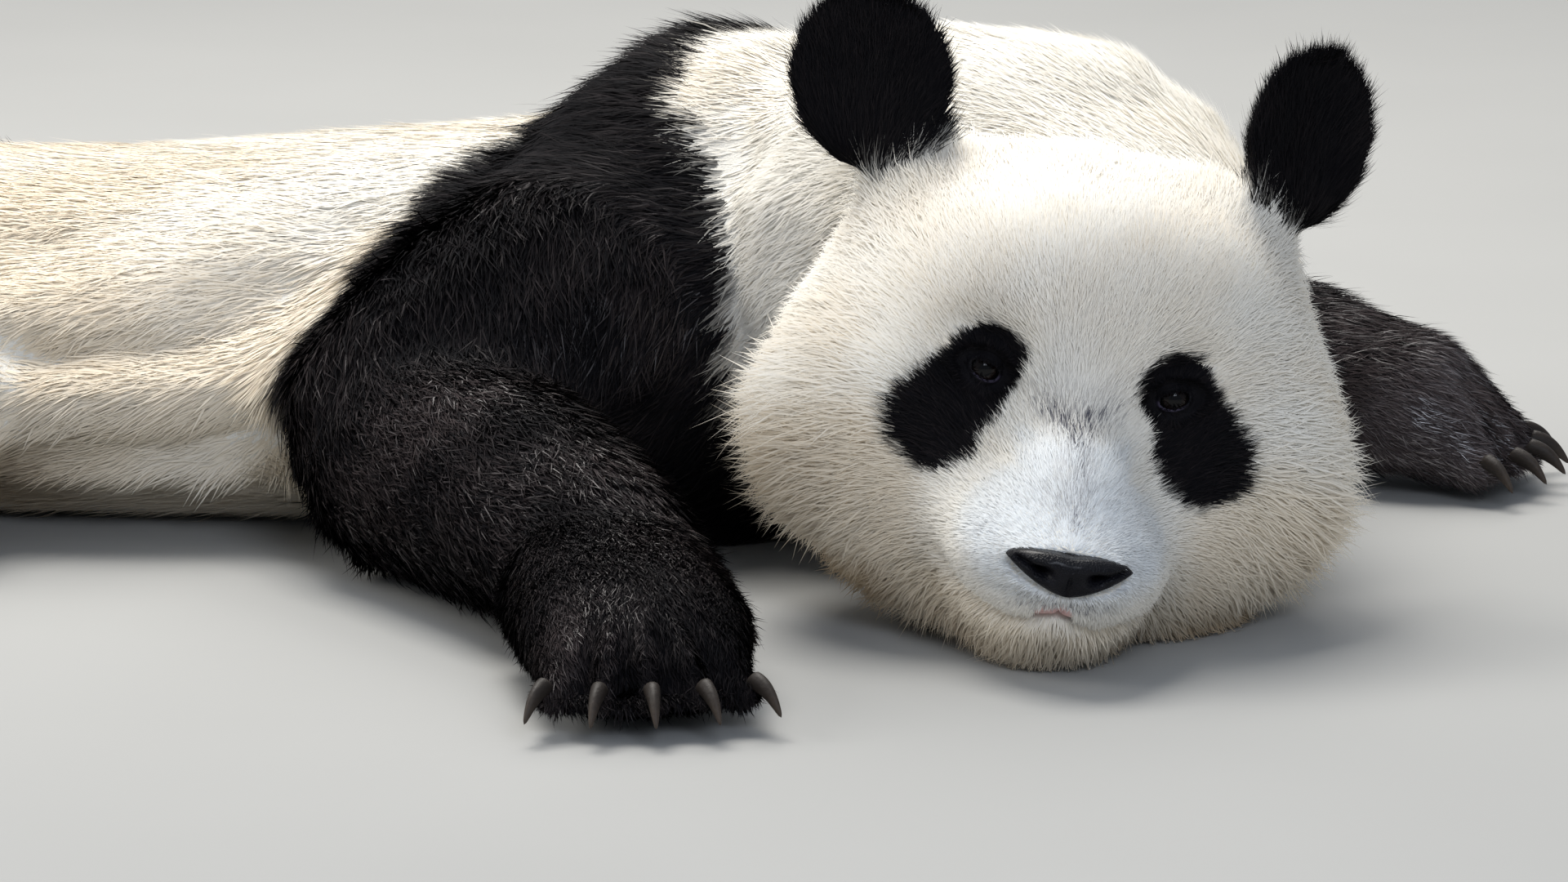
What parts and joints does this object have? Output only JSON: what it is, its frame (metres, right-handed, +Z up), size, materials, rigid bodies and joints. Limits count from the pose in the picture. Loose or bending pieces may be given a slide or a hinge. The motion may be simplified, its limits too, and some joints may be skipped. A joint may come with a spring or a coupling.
{
  "type": "giant panda",
  "caption": "Life-size still giant panda lying on its belly with its chin on the floor, a forepaw forward and the other out to the side, white with black ears, eye patches, yoke and legs.",
  "frame": {"origin": "on the floor under the middle of the whole animal's bounding box", "axes": "+Z up from the floor; the face looks towards -Y; +X is on the animal's left, and the body trails off towards -X"},
  "size_m": [1.3228, 1.1512, 0.3547],
  "materials": {
    "fur_white": "soft ivory coat of overlapping locks",
    "fur_black": "soft black coat of overlapping locks",
    "nose_pad": "moist, finely grained",
    "eye": "polished, dark brown iris round a black pupil",
    "claw": "satin horn"
  },
  "bodies": {
    "root": {"claw_fore_left_1": "claw", "claw_fore_left_2": "claw", "claw_fore_left_3": "claw", "claw_fore_left_4": "claw", "claw_fore_left_5": "claw", "claw_fore_right_1": "claw", "claw_fore_right_2": "claw", "claw_fore_right_3": "claw", "claw_fore_right_4": "claw", "claw_fore_right_5": "claw", "claw_hind_left_1": "claw", "claw_hind_left_2": "claw", "claw_hind_left_3": "claw", "claw_hind_left_4": "claw", "claw_hind_left_5": "claw", "claw_hind_right_1": "claw", "claw_hind_right_2": "claw", "claw_hind_right_3": "claw", "claw_hind_right_4": "claw", "claw_hind_right_5": "claw", "ear_left": "fur_black", "ear_right": "fur_black", "eye_left": "eye", "eye_right": "eye", "forearm_left": "fur_black", "forearm_right": "fur_black", "forepaw_left": "fur_black", "forepaw_right": "fur_black", "head": "fur_white", "hind_foot_left": "fur_black", "hind_foot_right": "fur_black", "neck": "fur_white", "nose": "nose_pad", "shank_left": "fur_black", "shank_right": "fur_black", "shoulders": "fur_black", "tail": "fur_white", "thigh_left": "fur_black", "thigh_right": "fur_black", "trunk": "fur_white", "upper_arm_left": "fur_black", "upper_arm_right": "fur_black"}
  },
  "joints": []
}
